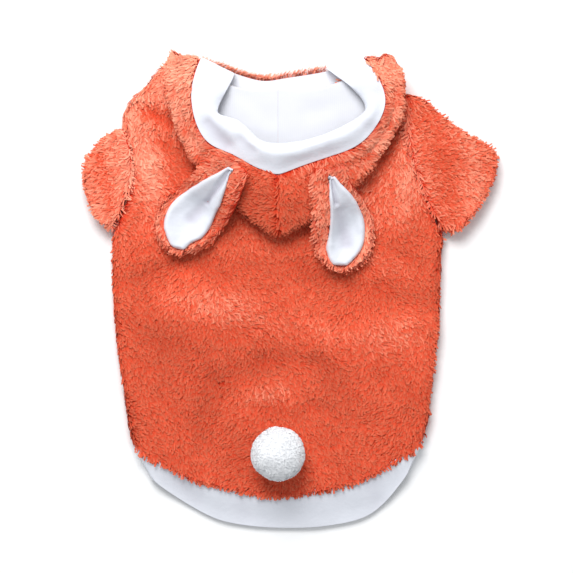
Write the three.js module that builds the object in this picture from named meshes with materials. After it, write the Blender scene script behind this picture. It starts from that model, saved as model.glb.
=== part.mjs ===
import * as THREE from "three";

// A hooded plush costume for a small dog, laid flat on its belly with the hood thrown back.
// Millimetres. X runs across the back, Y from the tail to the neck, Z up from the table.

// Thickness of each cloth, the pile included.
const PLUSH = 5.5;
const JERSEY = 1.2;
const FLEECE = 3.4;
// Cut edges that are sewn to each other stand this far apart, and more on a slant.
const SEAM = 0.35;
const SEAM_CUT = 0.45;
// A quarter turn brings the cloth from the side fold to the flat part.
const SQUARE = 90;

// The body lies in two layers with a thin slit between them.
const BODY_TOP = 13.6;
const SLIT = 2.7;
const SLIT_LEAST = 1.3;
const SLIT_MOST = 3.7;
const SLIT_FOLLOWS = 0.55;
const MIDDLE_X = -9.4;
// Angles round the fold at each side, from the side seam to the flat part.
const BACK_ANGLES = [-30, 5, 45, 90];
const BELLY_ANGLES = [-30, -60, -90];
const BACK_STEPS = 15;
const BELLY_STEPS = 8;
const EDGE_INSET = 7;

// Shoulder outline from the neck corner to the top of the armhole.
const SHOULDER_LEFT = [
  { x: -97, y: 168 },
  { x: -103, y: 160.5 },
  { x: -109, y: 152.5 },
  { x: -118.5, y: 146 },
  { x: -125, y: 137 },
  { x: -127.5, y: 127.5 },
];
const SHOULDER_RIGHT = [
  { x: 80, y: 170 },
  { x: 83, y: 161 },
  { x: 84.5, y: 153.5 },
];
// Armhole seams, from the shoulder to the underarm.
const ARMHOLE_LEFT = [
  { x: -125, y: 123 },
  { x: -119.8, y: 105 },
  { x: -119, y: 88 },
  { x: -123.5, y: 70 },
  { x: -131.5, y: 50 },
];
const ARMHOLE_RIGHT = [
  { x: 85, y: 149 },
  { x: 86.2, y: 132 },
  { x: 89.5, y: 107 },
  { x: 97, y: 82 },
  { x: 112, y: 48 },
];
// Side outline from the underarm to the hem seam.
const SIDE_LEFT = [
  { x: -134, y: 43 },
  { x: -134.3, y: 20 },
  { x: -133.5, y: -12 },
  { x: -130.5, y: -44 },
  { x: -126, y: -76 },
  { x: -123, y: -100 },
  { x: -118.5, y: -116 },
];
const SIDE_RIGHT = [
  { x: 115, y: 41 },
  { x: 113.2, y: 20 },
  { x: 113, y: -12 },
  { x: 110, y: -44 },
  { x: 106, y: -76 },
  { x: 104, y: -98 },
  { x: 100.5, y: -112 },
];
// Edges that run across, from the left side to the right.
const NAPE = [
  { x: -97, y: 168 },
  { x: -68, y: 161 },
  { x: -43, y: 150.5 },
  { x: -9.4, y: 148.5 },
  { x: 25, y: 150.5 },
  { x: 50, y: 161 },
  { x: 80, y: 170 },
];
const THROAT = [
  { x: -97, y: 168 },
  { x: -68, y: 173 },
  { x: -41, y: 163.5 },
  { x: -20, y: 157.5 },
  { x: -3, y: 160.5 },
  { x: 26, y: 165 },
  { x: 52, y: 173.5 },
  { x: 80, y: 170 },
];
const HEM_SEAM = [
  { x: -118.5, y: -116 },
  { x: -84, y: -135 },
  { x: -48, y: -146 },
  { x: -8, y: -152.2 },
  { x: 33, y: -146 },
  { x: 69, y: -132.5 },
  { x: 100.5, y: -112 },
];
const HEM_EDGE = [
  { x: -104.5, y: -143 },
  { x: -78, y: -161 },
  { x: -50, y: -174.5 },
  { x: -9, y: -179.3 },
  { x: 34, y: -176.8 },
  { x: 64, y: -167 },
  { x: 88, y: -139 },
];
const BELLY_HEM_SEAM = [
  { x: -118.5, y: -116 },
  { x: -65, y: -121.5 },
  { x: -9, y: -124 },
  { x: 46, y: -121 },
  { x: 100.5, y: -112 },
];
const BELLY_HEM_EDGE = [
  { x: -104.5, y: -143 },
  { x: -60, y: -148 },
  { x: -9, y: -150 },
  { x: 42, y: -147.5 },
  { x: 88, y: -139 },
];

// The hem band stands a little under the pile and comes down to the table at the tail.
const HEM_TOP = 11.9;
const HEM_SIDE_TOP = 8.3;
const HEM_TAIL_TOP = 3.9;
const HEM_SLOPE_SHARE = 0.17;
const HEM_ROWS = 5;

// The largest folds of the back: a trough is negative, a ridge positive.
const BODY_FOLDS = [
  { fromX: -126, fromY: 6, toX: -60, toY: 22, rise: -1.8, wide: 11 },
  { fromX: -60, fromY: 22, toX: 2, toY: 4, rise: -1.5, wide: 10 },
  { fromX: 2, fromY: 4, toX: 105, toY: -2, rise: -1.7, wide: 10 },
  { fromX: 64, fromY: 38, toX: 106, toY: 4, rise: -1.4, wide: 9 },
  { fromX: -16, fromY: -54, toX: -46, toY: -71, rise: -1.6, wide: 10 },
  { fromX: -46, fromY: -71, toX: -68, toY: -114, rise: -1.6, wide: 11 },
  { fromX: 14, fromY: -84, toX: 60, toY: -104, rise: -1.5, wide: 10 },
  { fromX: -95, fromY: -18, toX: -20, toY: -16, rise: 1.5, wide: 16 },
  { fromX: 30, fromY: -36, toX: 92, toY: -28, rise: 1.4, wide: 15 },
  { fromX: -45, fromY: -96, toX: -25, toY: -72, rise: 1.1, wide: 12 },
  { fromX: -112, fromY: 122, toX: -104, toY: 60, rise: 1.1, wide: 10 },
];
const FOLD_FADE = 16;

// Sleeves: the cuff line, and the top and bottom edges from the armhole to the cuff.
const SLEEVE_TOP = 13;
const SLEEVE_STATIONS = 5;
const SLEEVE_STEPS = 6;
const SLEEVE_TURN = [50, 0, -50];
const SLEEVE_LEFT = {
  cuff: [
    { x: -152, y: 99 },
    { x: -154.3, y: 88 },
    { x: -151, y: 70 },
    { x: -145, y: 57 },
    { x: -137, y: 45.5 },
  ],
  upper: [
    { x: -137.6, y: 118 },
    { x: -146, y: 108 },
    { x: -152, y: 99 },
  ],
  lower: [
    { x: -134.8, y: 47 },
    { x: -137, y: 45.5 },
  ],
};
const SLEEVE_RIGHT = {
  cuff: [
    { x: 149.5, y: 108.5 },
    { x: 153, y: 94 },
    { x: 147, y: 76.5 },
    { x: 136, y: 59 },
    { x: 124, y: 45 },
  ],
  upper: [
    { x: 96, y: 148.6 },
    { x: 109, y: 135.5 },
    { x: 122, y: 123.5 },
    { x: 135, y: 116.5 },
    { x: 149.5, y: 108.5 },
  ],
  lower: [
    { x: 118, y: 45.6 },
    { x: 124, y: 45 },
  ],
};

// Hood: each row runs from the middle seam out to the fold, round it and back to the edge.
// The edge is the seam of the face band in the first nine rows, then the middle seam of the crown.
const HOOD_FLOOR = BODY_TOP + SEAM;
const FOLD_RADIUS = 8.5;
const BAND_LAST = 8;
const HOOD_LOWER = 4;
const HOOD_TURN = [-90, -60, -30, 0, 30, 60, 90];
const HOOD_UPPER = 3;
const RISE_START = 0.15;
const ROW_STEP = 0.5;
const HOOD_LEFT = [
  { foldX: -89, foldY: 178, edgeX: -67, edgeY: 175, spineY: 149, rise: -12.5, bow: 11 },
  { foldX: -93, foldY: 166.5, edgeX: -70, edgeY: 167, spineY: 143, rise: -1, bow: 7 },
  { foldX: -93.5, foldY: 152, edgeX: -74, edgeY: 152, spineY: 135, rise: 4.5, bow: 3 },
  { foldX: -90, foldY: 137, edgeX: -74, edgeY: 137.5, spineY: 126, rise: 6, bow: 1 },
  { foldX: -85, foldY: 121, edgeX: -69.5, edgeY: 120.5, spineY: 116, rise: 6.5, bow: 0 },
  { foldX: -77.5, foldY: 104, edgeX: -60, edgeY: 107.5, spineY: 106, rise: 6.5, bow: 0 },
  { foldX: -68, foldY: 89.5, edgeX: -43, edgeY: 100.5, spineY: 95, rise: 7, bow: 0 },
  { foldX: -55, foldY: 75, edgeX: -26, edgeY: 90.5, spineY: 84, rise: 8, bow: 0 },
  { foldX: -42, foldY: 63, edgeX: -9.4, edgeY: 84.3, spineY: 73, rise: 8.5, bow: 0 },
  { foldX: -31, foldY: 53.5, edgeX: -9.4, edgeY: 73.5, spineY: 66, rise: 6.5, bow: 0 },
  { foldX: -20, foldY: 44.8, edgeX: -9.4, edgeY: 63.5, spineY: 60, rise: 4, bow: 0 },
  { foldX: -9.4, foldY: 39.5, edgeX: -9.4, edgeY: 55, spineY: 55.5, rise: 2, bow: 0 },
];
const HOOD_RIGHT = [
  { foldX: 73, foldY: 179, edgeX: 53.6, edgeY: 175.5, spineY: 149, rise: -12.5, bow: 11 },
  { foldX: 81.5, foldY: 168, edgeX: 60, edgeY: 167.5, spineY: 143, rise: -1, bow: 7 },
  { foldX: 85, foldY: 155, edgeX: 67.5, edgeY: 155, spineY: 135, rise: 4.5, bow: 3 },
  { foldX: 85.5, foldY: 141, edgeX: 71, edgeY: 143.5, spineY: 126, rise: 6, bow: 1 },
  { foldX: 82, foldY: 126.5, edgeX: 69.5, edgeY: 132, spineY: 116, rise: 6.5, bow: 0 },
  { foldX: 73.5, foldY: 110.5, edgeX: 61, edgeY: 117, spineY: 106, rise: 6.5, bow: 0 },
  { foldX: 63.5, foldY: 96, edgeX: 46, edgeY: 104.5, spineY: 95, rise: 7, bow: 0 },
  { foldX: 52.5, foldY: 82, edgeX: 19, edgeY: 95.5, spineY: 84, rise: 8, bow: 0 },
  { foldX: 38, foldY: 68.5, edgeX: -9.4, edgeY: 84.3, spineY: 73, rise: 8.5, bow: 0 },
  { foldX: 23, foldY: 57, edgeX: -9.4, edgeY: 73.5, spineY: 66, rise: 6.5, bow: 0 },
  { foldX: 7, foldY: 46.5, edgeX: -9.4, edgeY: 63.5, spineY: 60, rise: 4, bow: 0 },
  { foldX: -9.4, foldY: 39.5, edgeX: -9.4, edgeY: 55, spineY: 55.5, rise: 2, bow: 0 },
];

// Face band: the free edge and how far the cloth rolls up between it and the seam.
const BAND_LEFT = [
  { x: -42, y: 162.8, top: 13.4, roll: 0.5 },
  { x: -43.3, y: 158, top: 21.5, roll: 1 },
  { x: -47.5, y: 149.5, top: 29, roll: 2 },
  { x: -52, y: 140.5, top: 31, roll: 3 },
  { x: -54.5, y: 132.5, top: 34, roll: 4 },
  { x: -48, y: 128.6, top: 36, roll: 4 },
  { x: -36, y: 124.5, top: 36, roll: 4.5 },
  { x: -23, y: 111.5, top: 37, roll: 6 },
  { x: -10.5, y: 109.3, top: 37, roll: 8 },
];
const BAND_RIGHT = [
  { x: 26.5, y: 166.5, top: 13.4, roll: 0.5 },
  { x: 34, y: 160.5, top: 21.5, roll: 1 },
  { x: 44, y: 152.5, top: 29, roll: 2 },
  { x: 52, y: 144, top: 31, roll: 3 },
  { x: 56, y: 136.5, top: 33, roll: 4 },
  { x: 53, y: 131, top: 35, roll: 5 },
  { x: 38, y: 121.5, top: 36, roll: 6 },
  { x: 12, y: 111.5, top: 37, roll: 7 },
  { x: -10.5, y: 109.3, top: 37, roll: 8 },
];
const ROLL_PEAK = 1.6;
const BAND_DROP = 1.2;
const BAND_STEPS = 6;
const STEEPEST = 0.7;

// Ears from the root to the tip: plush edge, edge of the white inside, and the same on the far side.
const EAR_LEFT = [
  { aX: -49.9, aY: 99.5, bX: -42, bY: 94, cX: -39.2, cY: 92.4, dX: -31, dY: 86.5 },
  { aX: -61.9, aY: 93.8, bX: -52.1, bY: 88.5, cX: -44.6, cY: 85.5, dX: -32.6, dY: 79 },
  { aX: -73.1, aY: 85.5, bX: -66.4, bY: 81.8, cX: -46.9, cY: 75, dX: -36.4, dY: 69 },
  { aX: -83.6, aY: 77.3, bX: -79.9, bY: 74.3, cX: -49.9, cY: 64.5, dX: -40.9, dY: 58.5 },
  { aX: -94.1, aY: 69, bX: -90.4, bY: 66.8, cX: -53.6, cY: 54.8, dX: -46.9, dY: 48.8 },
  { aX: -100.1, aY: 59.3, bX: -95.6, bY: 57.8, cX: -58.1, cY: 45.8, dX: -53.6, dY: 40.5 },
  { aX: -101.6, aY: 47.3, bX: -97.1, bY: 47.3, cX: -64.1, cY: 38.3, dX: -61.1, dY: 33 },
  { aX: -96.4, aY: 35.3, bX: -92.6, bY: 38.3, cX: -75.4, cY: 33.8, dX: -72.6, dY: 29 },
  { aX: -89.5, aY: 28.4, bX: -87.5, bY: 30.2, cX: -81, cY: 28.6, dX: -79, dY: 26 },
];
const EAR_RIGHT = [
  { aX: 16.1, aY: 89.5, bX: 27.4, bY: 88.5, cX: 29.9, cY: 88.2, dX: 40.9, dY: 92 },
  { aX: 16.1, aY: 79.5, bX: 28.1, bY: 79.5, cX: 37.1, cY: 80.3, dX: 44.6, dY: 82.5 },
  { aX: 16.9, aY: 69, bX: 28.1, bY: 69.8, cX: 45.4, cY: 72, dX: 51.4, dY: 74.3 },
  { aX: 16.9, aY: 58.5, bX: 28.1, bY: 59.3, cX: 52.1, cY: 63, dX: 58.1, dY: 65.3 },
  { aX: 16.9, aY: 48, bX: 27.4, bY: 48.8, cX: 56.6, cY: 51.8, dX: 61.9, dY: 52.5 },
  { aX: 17.6, aY: 37.5, bX: 25.9, bY: 38.3, cX: 57.4, cY: 39.8, dX: 61.9, dY: 38.3 },
  { aX: 19.9, aY: 27.8, bX: 25.1, bY: 29.3, cX: 53.6, cY: 28.5, dX: 58.1, dY: 25.5 },
  { aX: 25.4, aY: 19.8, bX: 28.9, bY: 21.8, cX: 46.4, cY: 21, dX: 49.6, dY: 17.5 },
  { aX: 31.5, aY: 15.6, bX: 33.5, bY: 17.8, cX: 41, cY: 17.6, dX: 43, dY: 14.8 },
];
const EAR_SLOPE = 0.75;
const EAR_INNER = 1.3;
const EAR_CLEAR = 0.45;
const EAR_REACHES = [3, 6, 10, 15, 20, 26];
const EAR_DIRECTIONS = 12;
const EAR_LEVEL_REACH = 4;
const EAR_PINCH = 0.9;
const EAR_PINCH_SHARE = 0.5;

// Throat lining: the edge that shows and the one tucked under the nape.
const THROAT_LINING = [
  { x: -66, y: 171.4 },
  { x: -41, y: 162.6 },
  { x: -21, y: 156.9 },
  { x: -4, y: 159.4 },
  { x: 27, y: 164.2 },
  { x: 51, y: 172 },
];
const THROAT_LINING_BACK = [
  { x: -64, y: 146 },
  { x: -41, y: 138 },
  { x: -21, y: 133 },
  { x: -4, y: 133 },
  { x: 27, y: 138 },
  { x: 50, y: 147 },
];
const THROAT_ROWS = 3;
const THROAT_STEPS = 10;

// Tail pompom, flattened where it is sewn on.
const POMPOM = { x: -9.4, y: -122.2, radius: 20, flat: 16.5, sides: 20, bands: 10 };

const CORAL = new THREE.MeshStandardMaterial({ color: 0xe76548, roughness: 0.95, metalness: 0 });
CORAL.name = "coral_plush";
const WHITE = new THREE.MeshStandardMaterial({ color: 0xf2f4f8, roughness: 0.9, metalness: 0 });
WHITE.name = "white_fleece";
const LINING = new THREE.MeshStandardMaterial({ color: 0xf5f5fa, roughness: 0.85, metalness: 0 });
LINING.name = "white_jersey";

const RIGHT_ANGLE = Math.PI / 2;

function mix(a, b, t) {
  return a + (b - a) * t;
}

function clamp(value, least, most) {
  return Math.min(Math.max(value, least), most);
}

function ease(t) {
  const k = clamp(t, 0, 1);
  return k * k * (3 - 2 * k);
}

function radians(degrees) {
  return degrees * Math.PI / 180;
}

// A smooth curve through the rows of a table, each column on its own, t from 0 to 1.
function along(rows, t) {
  const spans = rows.length - 1;
  const place = clamp(t, 0, 1) * spans;
  const at = Math.min(Math.floor(place), spans - 1);
  const k = place - at;
  const before = rows[Math.max(at - 1, 0)];
  const from = rows[at];
  const to = rows[at + 1];
  const after = rows[Math.min(at + 2, spans)];
  const point = {};
  for (const key of Object.keys(from)) {
    const pull = to[key] - before[key];
    const bend = 2 * before[key] - 5 * from[key] + 4 * to[key] - after[key];
    const turn = 3 * from[key] - before[key] - 3 * to[key] + after[key];
    point[key] = from[key] + 0.5 * k * (pull + k * (bend + k * turn));
  }
  return point;
}

function distanceToSegment(x, y, ax, ay, bx, by) {
  const dx = bx - ax;
  const dy = by - ay;
  const share = clamp(((x - ax) * dx + (y - ay) * dy) / (dx * dx + dy * dy), 0, 1);
  return Math.hypot(x - ax - dx * share, y - ay - dy * share);
}

// A closed wall between two grids of points, rimmed all round; a ring grid closes on itself.
function wall(name, outer, inner, material, ring = false) {
  const rows = outer.length;
  const columns = outer[0].length;
  const points = [...outer.flat(), ...inner.flat()];
  const far = rows * columns;
  const faces = [];
  const quad = (a, b, c, d) => {
    faces.push([a, b, c], [a, c, d]);
  };
  const lastColumn = ring ? columns : columns - 1;
  for (let row = 0; row < rows - 1; row += 1) {
    for (let column = 0; column < lastColumn; column += 1) {
      const next = (column + 1) % columns;
      const a = row * columns + column;
      const b = row * columns + next;
      const c = a + columns;
      const d = b + columns;
      const turned = gapBetween(points[a], points[d]) > gapBetween(points[b], points[c]);
      if (turned) {
        faces.push([a, b, c], [b, d, c]);
        faces.push([far + a, far + c, far + b], [far + b, far + c, far + d]);
      } else {
        faces.push([a, b, d], [a, d, c]);
        faces.push([far + a, far + d, far + b], [far + a, far + c, far + d]);
      }
    }
  }
  for (let column = 0; column < lastColumn; column += 1) {
    const next = (column + 1) % columns;
    const end = (rows - 1) * columns;
    quad(column, far + column, far + next, next);
    quad(end + column, end + next, far + end + next, far + end + column);
  }
  if (!ring) {
    for (let row = 0; row < rows - 1; row += 1) {
      const a = row * columns;
      const b = a + columns;
      quad(a, b, far + b, far + a);
      const c = a + columns - 1;
      const d = b + columns - 1;
      quad(c, far + c, far + d, d);
    }
  }
  return solid(name, points, faces, material);
}

function gapBetween(a, b) {
  return Math.hypot(a[0] - b[0], a[1] - b[1], a[2] - b[2]);
}

// A mesh with its faces turned outwards.
function solid(name, points, faces, material) {
  let volume = 0;
  for (const [a, b, c] of faces) {
    const p = new THREE.Vector3(...points[a]);
    const q = new THREE.Vector3(...points[b]);
    const r = new THREE.Vector3(...points[c]);
    volume += p.dot(q.cross(r));
  }
  const turned = faces.map(([a, b, c]) => (volume < 0 ? [a, c, b] : [a, b, c]));
  const geometry = new THREE.BufferGeometry();
  geometry.setAttribute("position", new THREE.Float32BufferAttribute(points.flat(), 3));
  geometry.setIndex(turned.flat());
  geometry.computeVertexNormals();
  const mesh = new THREE.Mesh(geometry, material);
  mesh.name = name;
  return mesh;
}

// Hood outline in plan, closed across the neck.
const HOOD_OUTLINE = [...HOOD_LEFT, ...HOOD_RIGHT.slice(0, -1).reverse()]
  .map((row) => [row.foldX, row.foldY]);

function beyondHood(x, y) {
  let inside = false;
  let nearest = Infinity;
  HOOD_OUTLINE.forEach(([ax, ay], index) => {
    const [bx, by] = HOOD_OUTLINE[(index + 1) % HOOD_OUTLINE.length];
    if ((ay > y) !== (by > y) && x < ax + (y - ay) / (by - ay) * (bx - ax)) {
      inside = !inside;
    }
    nearest = Math.min(nearest, distanceToSegment(x, y, ax, ay, bx, by));
  });
  return inside ? 0 : nearest;
}

// Height of the back over the table: flat under the hood and the pompom, folded elsewhere.
function bodyTop(x, y) {
  let height = 0;
  for (const fold of BODY_FOLDS) {
    const off = distanceToSegment(x, y, fold.fromX, fold.fromY, fold.toX, fold.toY) / fold.wide;
    height += fold.rise * Math.exp(-off * off);
  }
  const fromPompom = Math.hypot(x - POMPOM.x, y - POMPOM.y) - POMPOM.radius;
  const free = ease(beyondHood(x, y) / FOLD_FADE) * ease(fromPompom / FOLD_FADE);
  return BODY_TOP + height * free;
}

function slitUnder(top) {
  return clamp(SLIT + SLIT_FOLLOWS * (top - BODY_TOP), SLIT_LEAST, SLIT_MOST);
}

// A point of a row, bent so that the first and last rows follow their own edges.
function across(rows, first, last, row, share) {
  const down = row / (rows.length - 1);
  const start = rows[0];
  const end = rows[rows.length - 1];
  const here = rows[row];
  const top = along(first, share);
  const bottom = along(last, share);
  const place = {};
  for (const key of ["x", "y"]) {
    const startLine = mix(start.left[key], start.right[key], share);
    const endLine = mix(end.left[key], end.right[key], share);
    const sides = mix(here.left[key], here.right[key], share);
    place[key] = sides + mix(top[key], bottom[key], down) - mix(startLine, endLine, down);
  }
  return place;
}

// One layer that turns round the fold at each side down to the side seam.
function layer(rows, first, last, cut) {
  const outer = [];
  const inner = [];
  rows.forEach((ends, row) => {
    const span = ends.right.x - ends.left.x;
    const down = row / (rows.length - 1);
    const at = (share) => across(rows, first, last, row, share);
    const formAt = (share) => {
      const place = at(share);
      return cut.form(place.x, place.y, share, down);
    };
    const put = (list, share, level) => {
      const place = at(share);
      list.push([place.x, place.y, level]);
    };
    const turn = (end, toShare, order) => {
      const form = formAt(toShare(EDGE_INSET));
      for (const [list, skin] of [[outerRow, form.outer], [innerRow, form.inner]]) {
        order.forEach((angle) => {
          const atSeam = angle === cut.angles[0];
          const bend = radians(angle) - (atSeam ? cut.slip / skin.round : 0);
          const step = cut.angles.indexOf(angle) / (cut.angles.length - 1);
          const wrapped = form.outer.round - skin.round * Math.cos(bend);
          const inset = end.open ? form.outer.round * step : wrapped;
          const level = end.open ? skin.level : skin.middle + skin.round * Math.sin(bend);
          const square = Math.abs(angle) === SQUARE;
          const place = at(toShare(inset));
          list.push([place.x, square ? place.y : end.y, level]);
        });
      }
    };
    const outerRow = [];
    const innerRow = [];
    turn(ends.left, (inset) => inset / span, cut.angles);
    for (let step = 1; step <= cut.steps; step += 1) {
      const share = mix(EDGE_INSET / span, 1 - EDGE_INSET / span, step / (cut.steps + 1));
      const form = formAt(share);
      put(outerRow, share, form.outer.level);
      put(innerRow, share, form.inner.level);
    }
    turn(ends.right, (inset) => 1 - inset / span, [...cut.angles].reverse());
    outer.push(outerRow);
    inner.push(innerRow);
  });
  return [outer, inner];
}

// Levels of one face of a layer: flat part, radius and middle of the fold at the side.
function face(level, round, middle) {
  return { level, round, middle };
}

// Shapes of the two layers of the body and of the two parts of the hem band.
const backForm = (x, y) => {
  const top = bodyTop(x, y);
  const slit = slitUnder(top);
  return {
    outer: face(top, top / 2, top / 2),
    inner: face(PLUSH + slit, slit / 2, PLUSH + slit / 2),
  };
};
const bellyForm = (x, y) => {
  const top = bodyTop(x, y);
  const slit = slitUnder(top);
  return {
    outer: face(0, top / 2, top / 2),
    inner: face(PLUSH, slit / 2, PLUSH + slit / 2),
  };
};
// The back hem slopes down to the table at the tail and stays over the belly hem at the sides.
const hemLevel = (share, down) => {
  const tail = ease(Math.min(share, 1 - share) / HEM_SLOPE_SHARE);
  return mix(HEM_TOP, mix(HEM_SIDE_TOP, HEM_TAIL_TOP, tail), ease(down));
};
const hemSide = (down) => mix(HEM_TOP, HEM_SIDE_TOP, ease(down));
const hemSlit = (down) => hemSide(down) / 2 - FLEECE;
const hemBackForm = (x, y, share, down) => ({
  outer: face(hemLevel(share, down), hemSide(down) / 2, hemSide(down) / 2),
  inner: face(hemLevel(share, down) - FLEECE, hemSlit(down), hemSide(down) / 2),
});
const hemBellyForm = (x, y, share, down) => ({
  outer: face(0, hemSide(down) / 2, hemSide(down) / 2),
  inner: face(FLEECE, hemSlit(down), hemSide(down) / 2),
});

// Rows of the body, each with its two side points and whether it ends on an armhole.
function bodyRows() {
  const side = (parts) => parts.flatMap(([table, count, open]) => (
    Array.from({ length: count }, (unused, step) => ({ ...along(table, step / (count - 1)), open }))
  ));
  const left = side([[SHOULDER_LEFT, 6, false], [ARMHOLE_LEFT, 8, true], [SIDE_LEFT, 14, false]]);
  const right = side([[SHOULDER_RIGHT, 3, false], [ARMHOLE_RIGHT, 11, true], [SIDE_RIGHT, 14, false]]);
  return left.map((point, index) => ({ left: point, right: right[index] }));
}

function hemRows(first, last) {
  return Array.from({ length: HEM_ROWS }, (unused, row) => {
    const down = row / (HEM_ROWS - 1);
    const side = (index) => ({
      x: mix(first.at(index).x, last.at(index).x, down),
      y: mix(first.at(index).y, last.at(index).y, down),
      open: false,
    });
    return { left: side(0), right: side(-1) };
  });
}

function lowered(table) {
  return table.map((row) => ({ x: row.x, y: row.y - SEAM_CUT }));
}

// A sleeve is a short flattened tube between the armhole and the cuff.
function sleeve(name, armhole, edges, outward) {
  const root = armhole.map((row) => ({ x: row.x + outward * SEAM_CUT, y: row.y }));
  const upper = [root[0], ...edges.upper];
  const lower = [root.at(-1), ...edges.lower];
  const cornerAt = (s, q) => ({
    x: mix(mix(root[0].x, edges.cuff[0].x, s), mix(root.at(-1).x, edges.cuff.at(-1).x, s), q),
    y: mix(mix(root[0].y, edges.cuff[0].y, s), mix(root.at(-1).y, edges.cuff.at(-1).y, s), q),
  });
  const place = (s, q) => {
    const point = [];
    for (const key of ["x", "y"]) {
      const rings = mix(along(root, q)[key], along(edges.cuff, q)[key], s);
      const sides = mix(along(upper, s)[key], along(lower, s)[key], q);
      point.push(rings + sides - cornerAt(s, q)[key]);
    }
    return point;
  };
  const outer = [];
  const inner = [];
  for (let station = 0; station < SLEEVE_STATIONS; station += 1) {
    const s = station / (SLEEVE_STATIONS - 1);
    const top = mix(BODY_TOP, SLEEVE_TOP, s);
    const slit = slitUnder(BODY_TOP);
    const from = along(upper, s);
    const to = along(lower, s);
    const span = Math.hypot(from.x - to.x, from.y - to.y);
    for (const [list, round, low, high] of [
      [outer, top / 2, 0, top],
      [inner, slit / 2, PLUSH, PLUSH + slit],
    ]) {
      const ring = [];
      const flat = (order, level) => order.forEach((step) => {
        const share = mix(top / 2 / span, 1 - top / 2 / span, step / SLEEVE_STEPS);
        ring.push([...place(s, share), level]);
      });
      const turn = (order, toShare) => order.forEach((angle) => {
        const inset = top / 2 - round * Math.cos(radians(angle));
        ring.push([...place(s, toShare(inset / span)), (low + high) / 2 + round * Math.sin(radians(angle))]);
      });
      const steps = Array.from({ length: SLEEVE_STEPS + 1 }, (unused, step) => step);
      flat(steps, high);
      turn(SLEEVE_TURN, (share) => 1 - share);
      flat([...steps].reverse(), low);
      turn([...SLEEVE_TURN].reverse(), (share) => share);
      list.push(ring);
    }
  }
  return wall(name, outer, inner, CORAL, true);
}

// Places of the hood rows along its table: halves up to the band's middle, then wholes.
const HOOD_PLACES = [0, 0.5, 1, 1.5, 2, 2.5, 3, 3.5, 4, 4.5, 5, 5.5, 6, 6.5, 7, 7.5, 8, 8.5, 9, 10, 11];

function hoodRowAt(table, place, outward) {
  const last = table.length - 1;
  const row = along(table, place / last);
  const limit = MIDDLE_X + outward * SEAM / 2;
  const beyond = (x) => (outward < 0 ? Math.min(x, limit) : Math.max(x, limit));
  row.edgeX = place > BAND_LAST ? limit : beyond(row.edgeX);
  row.foldX = beyond(row.foldX);
  row.spineX = limit;
  const before = along(table, Math.max(place - ROW_STEP, 0) / last);
  const after = along(table, Math.min(place + ROW_STEP, last) / last);
  const run = Math.hypot(after.foldX - before.foldX, after.foldY - before.foldY);
  const inX = place === last ? 0 : -outward * Math.abs(after.foldY - before.foldY) / run;
  const inY = place === last ? 1 : -outward * (after.foldX - before.foldX) / run;
  row.turnX = row.foldX + inX * FOLD_RADIUS;
  row.turnY = row.foldY + inY * FOLD_RADIUS;
  row.inX = inX;
  row.inY = inY;
  return row;
}

// One face of a hood half, a given depth under its outer face.
function hoodFace(table, outward, depth) {
  return HOOD_PLACES.map((place) => {
    const row = hoodRowAt(table, place, outward);
    const points = [];
    for (let step = 0; step < HOOD_LOWER; step += 1) {
      const k = step / HOOD_LOWER;
      const y = mix(row.spineY, row.turnY, k) - row.bow * 4 * k * (1 - k);
      points.push([mix(row.spineX, row.turnX, k), y, HOOD_FLOOR + depth]);
    }
    const round = FOLD_RADIUS - depth;
    for (const angle of HOOD_TURN) {
      const reach = round * Math.cos(radians(angle));
      const level = HOOD_FLOOR + FOLD_RADIUS + round * Math.sin(radians(angle));
      points.push([row.turnX - row.inX * reach, row.turnY - row.inY * reach, level]);
    }
    for (let step = 1; step <= HOOD_UPPER; step += 1) {
      const k = step / HOOD_UPPER;
      const level = HOOD_FLOOR + 2 * FOLD_RADIUS + row.rise * ease(mix(RISE_START, 1, k)) - depth;
      points.push([mix(row.turnX, row.edgeX, k), mix(row.turnY, row.edgeY, k), level]);
    }
    return points;
  });
}

// The band round the face opening, from the left end round the bottom to the right end.
function bandRows() {
  const stations = [];
  const count = BAND_LAST / ROW_STEP;
  const add = (table, free, outward, step) => {
    const place = step * ROW_STEP;
    const seam = hoodRowAt(table, place, outward);
    const edge = along(free, place / BAND_LAST);
    const away = Math.hypot(edge.x - seam.edgeX, edge.y - seam.edgeY);
    stations.push({
      x: seam.edgeX + (edge.x - seam.edgeX) * SEAM_CUT / away,
      y: seam.edgeY + (edge.y - seam.edgeY) * SEAM_CUT / away,
      top: HOOD_FLOOR + 2 * FOLD_RADIUS + seam.rise - BAND_DROP,
      edge,
    });
  };
  for (let step = 0; step <= count; step += 1) {
    add(HOOD_LEFT, BAND_LEFT, -1, step);
  }
  stations.at(-1).x = MIDDLE_X;
  for (let step = count - 1; step >= 0; step -= 1) {
    add(HOOD_RIGHT, BAND_RIGHT, 1, step);
  }
  return stations;
}

function hoodBand() {
  const outer = bandRows().map((station) => Array.from({ length: BAND_STEPS + 1 }, (unused, step) => {
    const k = step / BAND_STEPS;
    const roll = station.edge.roll * Math.sin(Math.PI * k ** ROLL_PEAK);
    return [
      mix(station.x, station.edge.x, k),
      mix(station.y, station.edge.y, k),
      mix(station.top, station.edge.top, k) + roll,
    ];
  }));
  return wall("hood_band", outer, sunk(outer, FLEECE), WHITE);
}

// The same grid set lower by a depth, and by more where it is steep.
function sunk(grid, depth) {
  const rows = grid.length;
  const columns = grid[0].length;
  return grid.map((line, row) => line.map((point, column) => {
    const up = grid[Math.max(row - 1, 0)][column];
    const down = grid[Math.min(row + 1, rows - 1)][column];
    const left = line[Math.max(column - 1, 0)];
    const right = line[Math.min(column + 1, columns - 1)];
    const run = new THREE.Vector3(...down).sub(new THREE.Vector3(...up));
    const side = new THREE.Vector3(...right).sub(new THREE.Vector3(...left));
    const normal = run.cross(side).normalize();
    const drop = depth / Math.max(Math.abs(normal.z), STEEPEST);
    return [point[0], point[1], point[2] - drop];
  }));
}

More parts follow.
